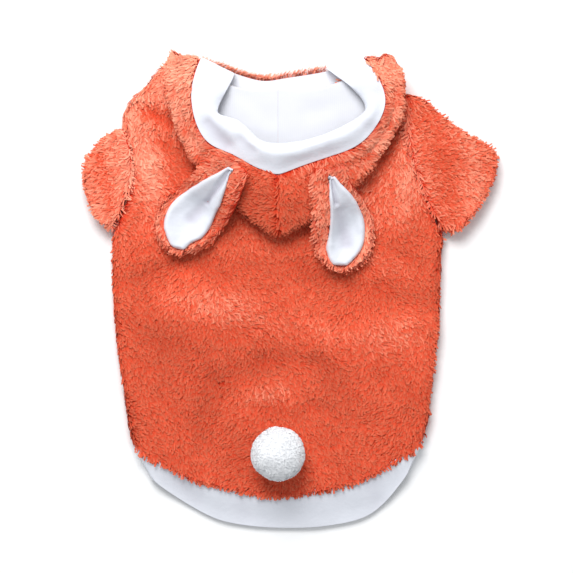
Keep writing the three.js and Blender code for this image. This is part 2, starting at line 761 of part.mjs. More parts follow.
// Height of the hood's outer face over a place, or of the back where there is no hood.
function topUnder(x, y, hoodFaces) {
  const levels = hoodFaces.map((grid) => levelOn(x, y, grid, HOOD_LOWER));
  return Math.max(bodyTop(x, y), ...levels);
}

// Height of a grid over a place, whichever way its quads are split.
function levelOn(x, y, grid, firstColumn) {
  let highest = -Infinity;
  for (let row = 0; row < grid.length - 1; row += 1) {
    for (let column = firstColumn; column < grid[0].length - 1; column += 1) {
      const a = grid[row][column];
      const b = grid[row][column + 1];
      const c = grid[row + 1][column];
      const d = grid[row + 1][column + 1];
      for (const [p, q, r] of [[a, b, c], [b, d, c], [a, b, d], [a, d, c]]) {
        highest = Math.max(highest, levelInside(x, y, p, q, r));
      }
    }
  }
  return highest;
}

function levelInside(x, y, p, q, r) {
  const area = (q[0] - p[0]) * (r[1] - p[1]) - (r[0] - p[0]) * (q[1] - p[1]);
  if (Math.abs(area) < 1e-6) {
    return -Infinity;
  }
  const v = ((x - p[0]) * (r[1] - p[1]) - (r[0] - p[0]) * (y - p[1])) / area;
  const w = ((q[0] - p[0]) * (y - p[1]) - (x - p[0]) * (q[1] - p[1])) / area;
  if (v < 0 || w < 0 || v + w > 1) {
    return -Infinity;
  }
  return p[2] + v * (q[2] - p[2]) + w * (r[2] - p[2]);
}

// An ear lies on what is under it and falls no steeper than its stiffness lets it.
function earBase(x, y, hoodFaces) {
  let level = topUnder(x, y, hoodFaces);
  for (const reach of EAR_REACHES) {
    for (let turn = 0; turn < EAR_DIRECTIONS; turn += 1) {
      const angle = 2 * Math.PI * turn / EAR_DIRECTIONS;
      const near = topUnder(x + reach * Math.cos(angle), y + reach * Math.sin(angle), hoodFaces);
      level = Math.max(level, near - EAR_SLOPE * Math.max(reach - EAR_LEVEL_REACH, 0));
    }
  }
  return level + EAR_CLEAR;
}

// Cross section of an ear: place between its edges, lift of the underside, height of the top.
const EAR_SECTION = [
  { from: "a", to: "b", share: 0, lift: 2.4, top: 5.4 },
  { from: "a", to: "b", share: 0.5, lift: 0.7, top: 7.8 },
  { from: "b", to: "c", share: 0, lift: 0, top: 6.4 },
  { from: "b", to: "c", share: 0.2, lift: 0, top: 5.2 },
  { from: "b", to: "c", share: 0.4, lift: 0, top: 4.8 },
  { from: "b", to: "c", share: 0.6, lift: 0, top: 4.8 },
  { from: "b", to: "c", share: 0.8, lift: 0, top: 5.2 },
  { from: "b", to: "c", share: 1, lift: 0, top: 6.4 },
  { from: "c", to: "d", share: 0.5, lift: 0.7, top: 7.8 },
  { from: "c", to: "d", share: 1, lift: 2.4, top: 5.4 },
];
const EAR_PLACES = [0, 0.06, 0.13, 0.21, 0.29, 0.37, 0.45, 0.53, 0.61, 0.69, 0.77, 0.85, 0.92, 0.97, 1];
const EAR_INNER_EDGE = 0.3;
const EAR_INNER_CLEAR = 0.75;

function ear(name, table, hoodFaces) {
  const under = [];
  const over = [];
  const lineUnder = [];
  const lineOver = [];
  EAR_PLACES.forEach((s) => {
    const row = along(table, s);
    const pinch = 1 + EAR_PINCH * (1 - ease(s / EAR_PINCH_SHARE));
    const points = EAR_SECTION.map((part) => {
      const x = mix(row[`${part.from}X`], row[`${part.to}X`], part.share);
      const y = mix(row[`${part.from}Y`], row[`${part.to}Y`], part.share);
      const base = earBase(x, y, hoodFaces);
      return {
        under: [x, y, base + part.lift * pinch],
        over: [x, y, base + part.top + part.lift * (pinch - 1)],
      };
    });
    under.push(points.map((point) => point.under));
    over.push(points.map((point) => point.over));
  });
  const first = EAR_SECTION.findIndex((part) => part.from === "b");
  const last = EAR_SECTION.length - 1 - first;
  for (const points of over.slice(1, -1)) {
    const white = points.slice(first, last + 1);
    const count = white.length - 1;
    const inset = (from, to) => from.map((value, axis) => mix(value, to[axis], EAR_INNER_EDGE));
    white[0] = inset(white[0], white[1]);
    white[count] = inset(white[count], white[count - 1]);
    for (const edge of [white[0], white[count]]) {
      edge[2] = levelOn(edge[0], edge[1], over, 0);
    }
    lineUnder.push(white.map(([x, y, z]) => [x, y, z + EAR_INNER_CLEAR]));
    lineOver.push(white.map(([x, y, z]) => [x, y, z + EAR_INNER_CLEAR + EAR_INNER]));
  }
  return [
    wall(`${name}_outer`, under, over, CORAL),
    wall(`${name}_inner`, lineUnder, lineOver, WHITE),
  ];
}

function pompom() {
  const base = bodyTop(POMPOM.x, POMPOM.y) + SEAM;
  const middle = base + POMPOM.flat;
  const points = [[POMPOM.x, POMPOM.y, base]];
  const faces = [];
  const lowest = -Math.asin(POMPOM.flat / POMPOM.radius);
  for (let band = 0; band < POMPOM.bands; band += 1) {
    const lift = mix(lowest, RIGHT_ANGLE, band / POMPOM.bands);
    for (let side = 0; side < POMPOM.sides; side += 1) {
      const turn = 2 * Math.PI * side / POMPOM.sides;
      const reach = POMPOM.radius * Math.cos(lift);
      points.push([
        POMPOM.x + reach * Math.cos(turn),
        POMPOM.y + reach * Math.sin(turn),
        middle + POMPOM.radius * Math.sin(lift),
      ]);
    }
  }
  const crown = points.length;
  points.push([POMPOM.x, POMPOM.y, middle + POMPOM.radius]);
  const id = (band, side) => 1 + band * POMPOM.sides + side % POMPOM.sides;
  for (let side = 0; side < POMPOM.sides; side += 1) {
    faces.push([0, id(0, side + 1), id(0, side)]);
    for (let band = 0; band < POMPOM.bands - 1; band += 1) {
      faces.push([id(band, side), id(band, side + 1), id(band + 1, side + 1)]);
      faces.push([id(band, side), id(band + 1, side + 1), id(band + 1, side)]);
    }
    faces.push([id(POMPOM.bands - 1, side), id(POMPOM.bands - 1, side + 1), crown]);
  }
  return solid("tail_pompom", points, faces, WHITE);
}

// The lining at the throat lies on the inside of the belly, between the ends of the band.
function throatLining() {
  const under = Array.from({ length: THROAT_ROWS }, (unused, row) => (
    Array.from({ length: THROAT_STEPS + 1 }, (none, step) => {
      const share = step / THROAT_STEPS;
      const edge = along(THROAT_LINING, share);
      const back = along(THROAT_LINING_BACK, share);
      const k = row / (THROAT_ROWS - 1);
      return [mix(edge.x, back.x, k), mix(edge.y, back.y, k), PLUSH + SEAM];
    })
  ));
  const over = under.map((line) => line.map(([x, y, z]) => [x, y, z + JERSEY]));
  return wall("throat_lining", under, over, LINING);
}

function build() {
  const costume = new THREE.Group();
  costume.name = "dog_costume";

  const rows = bodyRows();
  const back = { form: backForm, angles: BACK_ANGLES, slip: 0, steps: BACK_STEPS };
  const belly = { form: bellyForm, angles: BELLY_ANGLES, slip: SEAM, steps: BELLY_STEPS };
  costume.add(wall("back_panel", ...layer(rows, NAPE, HEM_SEAM, back), CORAL));
  costume.add(wall("belly_panel", ...layer(rows, THROAT, BELLY_HEM_SEAM, belly), CORAL));

  const hemSeam = lowered(HEM_SEAM);
  const bellySeam = lowered(BELLY_HEM_SEAM);
  const hemBack = { ...back, form: hemBackForm };
  const hemBelly = { ...belly, form: hemBellyForm };
  const backBand = layer(hemRows(hemSeam, HEM_EDGE), hemSeam, HEM_EDGE, hemBack);
  const bellyBand = layer(hemRows(bellySeam, BELLY_HEM_EDGE), bellySeam, BELLY_HEM_EDGE, hemBelly);
  costume.add(wall("hem_band_back", ...backBand, WHITE));
  costume.add(wall("hem_band_belly", ...bellyBand, WHITE));

  costume.add(sleeve("sleeve_left", ARMHOLE_LEFT, SLEEVE_LEFT, -1));
  costume.add(sleeve("sleeve_right", ARMHOLE_RIGHT, SLEEVE_RIGHT, 1));

  costume.add(throatLining());
  const hoodFaces = [];
  for (const [side, table, outward] of [["left", HOOD_LEFT, -1], ["right", HOOD_RIGHT, 1]]) {
    const plush = hoodFace(table, outward, 0);
    const backing = hoodFace(table, outward, PLUSH);
    const liningOut = hoodFace(table, outward, PLUSH + SEAM);
    const liningIn = hoodFace(table, outward, PLUSH + SEAM + JERSEY);
    hoodFaces.push(plush);
    costume.add(wall(`hood_${side}`, plush, backing, CORAL));
    costume.add(wall(`hood_lining_${side}`, liningOut, liningIn, LINING));
  }
  costume.add(hoodBand());

  costume.add(...ear("ear_left", EAR_LEFT, hoodFaces));
  costume.add(...ear("ear_right", EAR_RIGHT, hoodFaces));
  costume.add(pompom());
  return costume;
}

export default build();
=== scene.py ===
import math
from collections import namedtuple

import bmesh
import bpy
import numpy as np
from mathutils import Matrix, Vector, noise
from mathutils.bvhtree import BVHTree
from mathutils.kdtree import KDTree


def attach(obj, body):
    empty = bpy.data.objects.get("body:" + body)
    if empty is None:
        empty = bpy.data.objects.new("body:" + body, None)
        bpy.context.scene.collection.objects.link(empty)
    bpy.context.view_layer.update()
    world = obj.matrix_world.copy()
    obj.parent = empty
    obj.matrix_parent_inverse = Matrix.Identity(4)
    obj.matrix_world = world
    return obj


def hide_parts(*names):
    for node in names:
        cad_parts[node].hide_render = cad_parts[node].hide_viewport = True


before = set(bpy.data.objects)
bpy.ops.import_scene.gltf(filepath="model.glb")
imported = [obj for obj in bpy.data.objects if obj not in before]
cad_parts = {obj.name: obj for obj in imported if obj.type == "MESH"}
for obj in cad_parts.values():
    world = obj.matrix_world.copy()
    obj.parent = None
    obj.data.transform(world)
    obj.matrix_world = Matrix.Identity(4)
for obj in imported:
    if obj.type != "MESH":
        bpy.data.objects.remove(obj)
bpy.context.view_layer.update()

# The camera looks straight down on the garment, as it lies on its belly with the neck
# at the top of the picture. A long lens keeps the perspective low.
mm = 0.001
VIEW_CENTRE = (-3.0 * mm, 2.6 * mm)
VIEW_WIDTH = 430.0 * mm
LENS = 200.0
SENSOR = 36.0
EYE_LEVEL = 14.0 * mm

camera_data = bpy.data.cameras.new("camera")
camera_data.lens = LENS
camera_data.sensor_width = SENSOR
camera_data.clip_end = 20.0
camera = bpy.data.objects.new("camera", camera_data)
camera.location = (VIEW_CENTRE[0], VIEW_CENTRE[1], EYE_LEVEL + VIEW_WIDTH * LENS / SENSOR)
bpy.context.scene.collection.objects.link(camera)
bpy.context.scene.camera = camera

# The table is a plain white sheet of paper, wide enough for low views.
# A large soft lamp above the neck end lights it, with a pale room all round.
FLOOR_HALF = 3.0
FLOOR_LEVEL = -0.45 * mm
LAMP_SIZE = 1.1
LAMP_PLACE = Vector((-0.30, 1.25, 1.62))
LAMP_POWER = 42.0
ROOM_LIGHT = 0.52
ROOM_COLOUR = (0.95, 0.975, 1.0, 1.0)
PAPER = (0.96, 0.96, 0.96, 1.0)

scene = bpy.context.scene
scene.view_settings.view_transform = "Standard"

floor_mesh = bpy.data.meshes.new("paper")
floor_mesh.from_pydata(
    [(-FLOOR_HALF, -FLOOR_HALF, FLOOR_LEVEL), (FLOOR_HALF, -FLOOR_HALF, FLOOR_LEVEL),
     (FLOOR_HALF, FLOOR_HALF, FLOOR_LEVEL), (-FLOOR_HALF, FLOOR_HALF, FLOOR_LEVEL)],
    [], [(0, 1, 2, 3)],
)
floor = bpy.data.objects.new("paper", floor_mesh)
scene.collection.objects.link(floor)

paper = bpy.data.materials.new("white paper")
paper.use_nodes = True
paper_shader = paper.node_tree.nodes["Principled BSDF"]
paper_shader.inputs["Base Color"].default_value = PAPER
paper_shader.inputs["Roughness"].default_value = 0.9
floor_mesh.materials.append(paper)

lamp_data = bpy.data.lights.new("soft lamp", "AREA")
lamp_data.shape = "SQUARE"
lamp_data.size = LAMP_SIZE
lamp_data.energy = LAMP_POWER
lamp = bpy.data.objects.new("soft lamp", lamp_data)
lamp.location = LAMP_PLACE
lamp.rotation_euler = (-LAMP_PLACE).to_track_quat("-Z", "Y").to_euler()
scene.collection.objects.link(lamp)

room = bpy.data.worlds.new("pale room")
room.use_nodes = True
room.node_tree.nodes["Background"].inputs["Color"].default_value = ROOM_COLOUR
room.node_tree.nodes["Background"].inputs["Strength"].default_value = ROOM_LIGHT
scene.world = room

# The belly of the body is coral plush, a knitted backing with a brushed pile about two
# millimetres deep. It lies pressed on the table and shows only from below and at its sides.
PILE_DEPTH = 2.3 * mm
SAME_POINT = 0.00001
SHARP_TURN = math.radians(50)
EDGE_CREASE = 1.0
LYING_ON = 3.6 * mm
LINED = 5.5 * mm
SEAM_TAKEN = 0.4 * mm
DEEP_FOLD = 4.0 * mm
JOINED_FLAT = 0.7
JOINED_SHAPE = 1.2
FACING_FUR = 0.55
SEEN_FROM_BELOW = -0.6
BROAD_SWIRLS = 16.0
SMALL_SWIRLS = 47.0
SMALL_SWIRL_SHARE = 0.45
LENGTH_PATCHES = 70.0
LENGTH_SWING = 0.22
TONE_PATCHES = 23.0
# Crease depth paints shade into the pile's troughs and light onto its ridges; cut edges get painted
# light.
PAINTED_FOLD_SHADING = 0.18
PATCH_TONE = 0.4
PAINTED_RIM_LIGHT = 0.25
Crease = namedtuple("Crease", "from_x from_y to_x to_y rise wide")


def named_input(tree, name, kind, value=None):
    """Gives a tree an input, with a starting value where it has one."""
    socket = tree.interface.new_socket(name, in_out="INPUT", socket_type="NodeSocket" + kind)
    if value is not None:
        socket.default_value = value


def cloth_from(node, name, furred=None, crispness=EDGE_CREASE, skin_rank=0):
    """The node's form in quads, with its shown skin marked and its cut edges kept crisp.
    The shown skin is the largest, or the next where a lining shows its inner side.
    The pile also hangs over the cut edges that face the furred direction."""
    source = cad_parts[node].data
    shape = bmesh.new()
    corners = [shape.verts.new(v.co) for v in source.vertices]
    for polygon in source.polygons:
        shape.faces.new([corners[i] for i in polygon.vertices])
    bmesh.ops.remove_doubles(shape, verts=shape.verts, dist=SAME_POINT)
    bmesh.ops.join_triangles(
        shape, faces=shape.faces,
        angle_face_threshold=JOINED_FLAT, angle_shape_threshold=JOINED_SHAPE,
    )
    outer = shape.faces.layers.float.new("outer")
    crisp = shape.edges.layers.float.new("crease_edge")
    for edge in shape.edges:
        if edge.calc_face_angle() > SHARP_TURN:
            edge[crisp] = crispness
    left = set(shape.faces)
    skins = []
    while left:
        skin = [left.pop()]
        for face in skin:
            for edge in face.edges:
                if edge.calc_face_angle() <= SHARP_TURN:
                    beside = [f for f in edge.link_faces if f in left]
                    left.difference_update(beside)
                    skin.extend(beside)
        skins.append(skin)
    skins.sort(key=lambda skin: -sum(face.calc_area() for face in skin))
    for face in skins[skin_rank]:
        face[outer] = 1.0
    if furred is not None:
        towards, beyond = Vector(furred[0]), furred[1] * mm
        for face in shape.faces:
            far_out = face.calc_center_median().dot(towards) > beyond
            if face.normal.dot(towards) > FACING_FUR and far_out:
                face[outer] = 1.0
    mesh = bpy.data.meshes.new(name)
    shape.to_mesh(mesh)
    shape.free()
    cloth = bpy.data.objects.new(name, mesh)
    scene.collection.objects.link(cloth)
    return cloth


def baked(piece):
    """The piece with its modifiers worked into a plain mesh."""
    graph = bpy.context.evaluated_depsgraph_get()
    mesh = bpy.data.meshes.new_from_object(piece.evaluated_get(graph))
    piece.modifiers.clear()
    return mesh


def smoothed(cloth, levels):
    """Rounds the cloth with subdivision and shades it smooth."""
    rounding = cloth.modifiers.new("rounding", "SUBSURF")
    rounding.levels = levels
    rounding.render_levels = levels
    cloth.data = baked(cloth)
    cloth.data.shade_smooth()
    cloth.data.set_sharp_from_angle(angle=SHARP_TURN)


def outer_normals(mesh):
    """For each point of the outer skin, the mean direction of the outer faces that meet there."""
    marks = mesh.attributes["outer"].data
    sums = {}
    for polygon in mesh.polygons:
        if marks[polygon.index].value > 0.5:
            for i in polygon.vertices:
                sums[i] = sums.get(i, Vector()) + polygon.normal * polygon.area
    return {i: total.normalized() for i, total in sums.items()}


def rim_directions(mesh):
    """For each point where the outer skin ends, the way its cut edge faces."""
    marks = mesh.attributes["outer"].data
    sums = {}
    for polygon in mesh.polygons:
        if marks[polygon.index].value <= 0.5:
            for i in polygon.vertices:
                sums[i] = sums.get(i, Vector()) + polygon.normal
    return {i: total.normalized() for i, total in sums.items()}


def drop_by_pile(cloth, depth):
    """Moves the outer skin in by the depth of its pile, and draws its edge up to the seam.
    The tips of the pile then come to the node's surface."""
    rims = rim_directions(cloth.data)
    for i, out in outer_normals(cloth.data).items():
        cloth.data.vertices[i].co -= out * depth
        if i in rims:
            cloth.data.vertices[i].co += rims[i] * SEAM_TAKEN


def crease_height(point, creases):
    """How far soft troughs and ridges move the cloth at a point seen from above."""
    height = 0.0
    for crease in creases:
        start = Vector((crease.from_x, crease.from_y)) * mm
        run = Vector((crease.to_x, crease.to_y)) * mm - start
        share = max(0.0, min(1.0, (point.xy - start).dot(run) / run.length_squared))
        away = (point.xy - start - run * share).length / (crease.wide * mm)
        height += crease.rise * mm * math.exp(-away * away)
    return height


def lay_in_folds(cloth, creases, side, rumple, grain):
    """Presses creases and a fine unevenness into the outer skin that faces up (side 1) or down (-1),
    and marks how deep each point lies in a crease, which the fleece darkens as painted shade."""
    hollow = cloth.data.attributes.new("hollow", "FLOAT", "POINT")
    for i, out in outer_normals(cloth.data).items():
        vertex = cloth.data.vertices[i]
        facing = max(0.0, out.z * side)
        fine = rumple * noise.noise(vertex.co / grain)
        fold = crease_height(vertex.co, creases) * facing
        vertex.co += out * (fold + fine)
        hollow.data[i].value = max(0.0, min(1.0, -fold / DEEP_FOLD))


def surfaces_of(names):
    """The surfaces of the named nodes together, for finding what lies on what."""
    points = []
    faces = []
    for name in names:
        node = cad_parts[name]
        start = len(points)
        points.extend(v.co.copy() for v in node.data.vertices)
        faces.extend([start + i for i in p.vertices] for p in node.data.polygons)
    return BVHTree.FromPolygons(points, faces)


def comb(cloth, node, heading, swirl, creases=(), lightness=lambda p: 0.5, below=1.0, over=0.8,
         under=None):
    """Writes on the cloth where pile grows, which way it is brushed, its length and its lightness.
    The lightness holds painted shade in the creases and painted light on the ridges and cut edges.
    Beside a seam the pile lies over it by the given share."""
    mesh = cloth.data
    rims = rim_directions(mesh)
    others = surfaces_of(under or [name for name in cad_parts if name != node])
    cover = [0.0] * len(mesh.vertices)
    long = [1.0] * len(mesh.vertices)
    light = [0.5] * len(mesh.vertices)
    nap = [0.0] * (3 * len(mesh.vertices))
    for i, out in outer_normals(mesh).items():
        place = mesh.vertices[i].co
        way = Vector((0, 0, 1)) if under else out
        reach = LINED if under else LYING_ON
        if others.ray_cast(place + way * 0.3 * mm, way, reach)[0] is None:
            cover[i] = below if out.z < SEEN_FROM_BELOW else 1.0
        small = noise.noise(place * SMALL_SWIRLS + Vector((4, 9, 2)))
        turn = noise.noise(place * BROAD_SWIRLS) + SMALL_SWIRL_SHARE * small
        angle = math.radians(heading(place) + swirl * turn)
        brushed = Vector((math.sin(angle), math.cos(angle), -0.15))
        long[i] = 1.0 + LENGTH_SWING * noise.noise(place * LENGTH_PATCHES + Vector((1, 5, 8)))
        if i in rims:
            brushed = brushed.lerp((rims[i] - out * rims[i].dot(out)).normalized(), over)
            long[i] *= 1.0 + 0.1 * over
        nap[3 * i:3 * i + 3] = brushed
        # Painted shade in troughs, painted light on ridges and at cut edges, and random pale and
        # dark patches.
        fold = crease_height(place, creases) / mm
        patch = 0.5 * noise.noise(place * TONE_PATCHES + Vector((7, 3, 1)))
        rim_light = PAINTED_RIM_LIGHT * over if i in rims else 0.0
        tone = lightness(place) + PAINTED_FOLD_SHADING * fold + PATCH_TONE * patch + rim_light
        light[i] = max(0.0, min(1.0, tone))
    for name, kind, key, values in (
        ("cover", "FLOAT", "value", cover),
        ("long", "FLOAT", "value", long),
        ("light", "FLOAT", "value", light),
        ("nap", "FLOAT_VECTOR", "vector", nap),
    ):
        written = mesh.attributes.get(name) or mesh.attributes.new(name, kind, "POINT")
        written.data.foreach_set(key, values)


# One tree grows every pile: flat locks of yarn stand on the skin a set distance apart, lean the
# way the nap is brushed and taper to a tip.
PACKING = 3.5
LOCK_BEND = (0, 0.12, 0.56)
LOCK_TIP = (0, 0.86, 0.52)
LOCK_POINTS = 3
SHORTEST = 0.72
LONGEST = 1.25
TINT = 0.2
pile_tree = bpy.data.node_groups.new("pile", "GeometryNodeTree")
pile_tree.interface.new_socket("Pile", in_out="OUTPUT", socket_type="NodeSocketGeometry")
named_input(pile_tree, "Cloth", "Geometry")
named_input(pile_tree, "Spacing", "Float", 1.7 * mm)
named_input(pile_tree, "Length", "Float", 5.6 * mm)
named_input(pile_tree, "Width", "Float", 1.5 * mm)
named_input(pile_tree, "Lean", "Float", 0.5)
named_input(pile_tree, "Spread", "Float", 0.8)
named_input(pile_tree, "Seed", "Int", 1)
named_input(pile_tree, "Yarn", "Material")


def add_node(tree, kind, inputs=(), **settings):
    """A node with its settings made and its inputs set or linked, by name or by number."""
    node = tree.nodes.new(kind)
    for key, value in settings.items():
        setattr(node, key, value)
    for key, value in dict(inputs).items():
        shown = [s for s in node.inputs if s.enabled and s.name == key]
        socket = shown[0] if shown else node.inputs[key]
        if isinstance(value, bpy.types.NodeSocket):
            tree.links.new(value, socket)
        else:
            socket.default_value = value
    return node


def reading(tree, name, kind="FLOAT"):
    """What comb wrote on the cloth under this name."""
    return add_node(
        tree, "GeometryNodeInputNamedAttribute", {"Name": name}, data_type=kind
    ).outputs["Attribute"]


def arithmetic(tree, operation, first, second):
    """The result of one sum in a tree."""
    return add_node(tree, "ShaderNodeMath", {0: first, 1: second}, operation=operation).outputs[0]


pile_in = pile_tree.nodes.new("NodeGroupInput").outputs
pile_square = arithmetic(pile_tree, "MULTIPLY", pile_in["Spacing"], pile_in["Spacing"])
pile_points = add_node(pile_tree, "GeometryNodeDistributePointsOnFaces", {
    "Mesh": pile_in["Cloth"],
    "Distance Min": pile_in["Spacing"],
    "Density Max": arithmetic(pile_tree, "DIVIDE", PACKING, pile_square),
    "Density Factor": reading(pile_tree, "cover"),
    "Seed": pile_in["Seed"],
}, distribute_method="POISSON")
pile_arc = add_node(pile_tree, "GeometryNodeCurveQuadraticBezier", {
    "Resolution": 8, "Start": (0, 0, 0), "Middle": LOCK_BEND, "End": LOCK_TIP,
})
pile_bow = add_node(pile_tree, "GeometryNodeResampleCurve", {
    "Curve": pile_arc.outputs[0], "Count": LOCK_POINTS,
})
pile_along = pile_tree.nodes.new("GeometryNodeSplineParameter").outputs["Factor"]
pile_marked = add_node(pile_tree, "GeometryNodeStoreNamedAttribute", {
    "Geometry": pile_bow.outputs[0], "Name": "height", "Value": pile_along,
}, data_type="FLOAT", domain="POINT")
pile_taper = add_node(pile_tree, "ShaderNodeFloatCurve", {"Value": pile_along})
pile_taper.mapping.curves[0].points[0].location = (0.0, 0.6)
pile_taper.mapping.curves[0].points[1].location = (1.0, 0.0)
pile_taper.mapping.curves[0].points.new(0.5, 1.0)
pile_taper.mapping.update()
pile_rounded = add_node(pile_tree, "GeometryNodeSetCurveRadius", {
    "Curve": pile_marked.outputs[0], "Radius": pile_taper.outputs[0],
})
pile_thin = arithmetic(pile_tree, "DIVIDE", pile_in["Width"], pile_in["Length"])
pile_section = add_node(pile_tree, "GeometryNodeCurvePrimitiveLine", {
    "Start": add_node(
        pile_tree, "ShaderNodeCombineXYZ", {"X": arithmetic(pile_tree, "MULTIPLY", pile_thin, 0.5)}
    ).outputs[0],
    "End": add_node(
        pile_tree, "ShaderNodeCombineXYZ", {"X": arithmetic(pile_tree, "MULTIPLY", pile_thin, -0.5)}
    ).outputs[0],
})
pile_lock = add_node(pile_tree, "GeometryNodeCurveToMesh", {
    "Curve": pile_rounded.outputs[0], "Profile Curve": pile_section.outputs[0],
})
pile_pointed = add_node(pile_tree, "GeometryNodeMergeByDistance", {
    "Geometry": pile_lock.outputs[0], "Distance": 0.001,
})
pile_stand = add_node(pile_tree, "FunctionNodeAlignRotationToVector", {
    "Vector": pile_points.outputs["Normal"],
}, axis="Z")
pile_brush = add_node(pile_tree, "FunctionNodeAlignRotationToVector", {
    "Rotation": pile_stand.outputs[0], "Vector": reading(pile_tree, "nap", "FLOAT_VECTOR"),
}, axis="Y", pivot_axis="Z")
pile_spread = pile_in["Spread"]
pile_most = add_node(pile_tree, "ShaderNodeCombineXYZ", {
    "X": arithmetic(pile_tree, "MULTIPLY", pile_in["Lean"], -0.2),
    "Y": arithmetic(pile_tree, "MULTIPLY", pile_spread, 0.4), "Z": pile_spread,
})
pile_least = add_node(pile_tree, "ShaderNodeCombineXYZ", {
    "X": arithmetic(pile_tree, "MULTIPLY", pile_in["Lean"], -1.0),
    "Y": arithmetic(pile_tree, "MULTIPLY", pile_spread, -0.4),
    "Z": arithmetic(pile_tree, "MULTIPLY", pile_spread, -1.0),
})
pile_chance = add_node(pile_tree, "FunctionNodeRandomValue", {
    "Min": pile_least.outputs[0], "Max": pile_most.outputs[0], "Seed": 11,
}, data_type="FLOAT_VECTOR")
pile_wild = add_node(pile_tree, "FunctionNodeRotateRotation", {
    "Rotation": pile_brush.outputs[0],
    "Rotate By": add_node(
        pile_tree, "FunctionNodeEulerToRotation", {"Euler": pile_chance.outputs[0]}
    ).outputs[0],
}, rotation_space="LOCAL")
pile_size = add_node(pile_tree, "FunctionNodeRandomValue", {2: SHORTEST, 3: LONGEST, "Seed": 5})
pile_reach = arithmetic(
    pile_tree, "MULTIPLY", reading(pile_tree, "long"), pile_size.outputs[1]
)
pile_tint = add_node(pile_tree, "FunctionNodeRandomValue", {2: -TINT, 3: TINT, "Seed": 23})
pile_toned = add_node(pile_tree, "GeometryNodeStoreNamedAttribute", {
    "Geometry": pile_points.outputs["Points"], "Name": "tone",
    "Value": arithmetic(pile_tree, "ADD", reading(pile_tree, "light"), pile_tint.outputs[1]),
}, data_type="FLOAT", domain="POINT")
pile_faced = add_node(pile_tree, "GeometryNodeStoreNamedAttribute", {
    "Geometry": pile_toned.outputs[0], "Name": "skin", "Value": pile_points.outputs["Normal"],
}, data_type="FLOAT_VECTOR", domain="POINT")
pile_set = add_node(pile_tree, "GeometryNodeInstanceOnPoints", {
    "Points": pile_faced.outputs[0], "Instance": pile_pointed.outputs[0],
    "Rotation": pile_wild.outputs[0],
    "Scale": arithmetic(pile_tree, "MULTIPLY", pile_reach, pile_in["Length"]),
})
pile_real = add_node(pile_tree, "GeometryNodeRealizeInstances", {
    "Geometry": pile_set.outputs[0],
})
pile_yarn = add_node(pile_tree, "GeometryNodeSetMaterial", {
    "Geometry": pile_real.outputs[0], "Material": pile_in["Yarn"],
})
add_node(pile_tree, "NodeGroupOutput", {"Pile": pile_yarn.outputs[0]})

# The tips of the pile give way to the table. Its light comes mostly from the slope of the
# skin below, and a little from above, as it does on soft pile.
TOUCHING = 0.05 * mm
FLATTENED = 0.1
SOFTNESS = 0.62
SKY_GLOW = 0.45
TURNED_UP = -0.3
NEVER_ZERO = 1e-9


def read_all(data, key):
    """One vector property of all the items, as rows of numbers."""
    values = np.empty(3 * len(data), dtype=np.float32)
    data.foreach_get(key, values)
    return values.reshape(-1, 3)


def press_on_table(mesh):
    """Flattens what would reach into the table."""
    places = read_all(mesh.vertices, "co")
    lower = places[:, 2] < TOUCHING
    places[lower, 2] = TOUCHING + FLATTENED * (places[lower, 2] - TOUCHING)
    mesh.vertices.foreach_set("co", places.ravel())


def shade_as_pile(mesh):
    """Turns every lock's face outwards and shades it mostly as the skin below, as soft pile is."""
    skin = read_all(mesh.attributes["skin"].data, "vector")
    faces = read_all(mesh.polygons, "normal")
    for polygon, facing in zip(mesh.polygons, faces):
        if facing @ skin[polygon.vertices[0]] < 0:
            polygon.flip()
    mesh.update()
    own = read_all(mesh.vertex_normals, "vector")
    skin[:, 2] += np.where(skin[:, 2] > TURNED_UP, SKY_GLOW, 0.0)
    blend = skin * SOFTNESS + own * (1 - SOFTNESS)
    blend /= np.linalg.norm(blend, axis=1, keepdims=True) + NEVER_ZERO
    mesh.normals_split_custom_set_from_vertices(blend)
    mesh.attributes.remove(mesh.attributes["skin"])


def grow_pile(cloth, name, yarn, sizes, where=None):
    """Grows locks on the cloth and returns them as a plain mesh piece that lies on the table."""
    if where is not None:
        cover = cloth.data.attributes["cover"].data
        kept = [mark.value for mark in cover]
        for i, vertex in enumerate(cloth.data.vertices):
            if not where(vertex.co):
                cover[i].value = 0.0
    growth = cloth.modifiers.new("pile", "NODES")
    growth.node_group = pile_tree
    values = {"Yarn": yarn, **sizes}
    for item in pile_tree.interface.items_tree:
        if item.item_type == "SOCKET" and item.name in values:
            growth[item.identifier] = values[item.name]
    mesh = baked(cloth)
    mesh.name = name
    mesh.shade_smooth()
    press_on_table(mesh)
    shade_as_pile(mesh)
    if where is not None:
        cover.foreach_set("value", kept)
    pile = bpy.data.objects.new(name, mesh)
    scene.collection.objects.link(pile)
    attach(pile, "root")
    return pile


# Soft differences in the dye and in how the cloth has been handled.
# Every cloth of the garment shares them, each with its own size and strength.
wash = bpy.data.node_groups.new("uneven wash", "ShaderNodeTree")
named_input(wash, "Color", "Color", (1.0, 1.0, 1.0, 1.0))
named_input(wash, "Patches per metre", "Float", 24.0)
named_input(wash, "Strength", "Float", 0.1)
wash.interface.new_socket("Color", in_out="OUTPUT", socket_type="NodeSocketColor")
wash_in = wash.nodes.new("NodeGroupInput").outputs
wash_place = wash.nodes.new("ShaderNodeTexCoord").outputs["Object"]
wash_noise = add_node(wash, "ShaderNodeTexNoise", {
    "Vector": wash_place, "Scale": wash_in["Patches per metre"], "Detail": 3.0,
})
wash_swing = add_node(wash, "ShaderNodeMapRange", {
    "Value": wash_noise.outputs[0], "From Min": 0.3, "From Max": 0.7,
    "To Min": arithmetic(wash, "SUBTRACT", 1.0, wash_in["Strength"]),
    "To Max": arithmetic(wash, "ADD", 1.0, wash_in["Strength"]),
})
wash_mix = add_node(wash, "ShaderNodeVectorMath", {
    0: wash_in["Color"], "Scale": wash_swing.outputs[0],
}, operation="SCALE")
add_node(wash, "NodeGroupOutput", {"Color": wash_mix.outputs[0]})
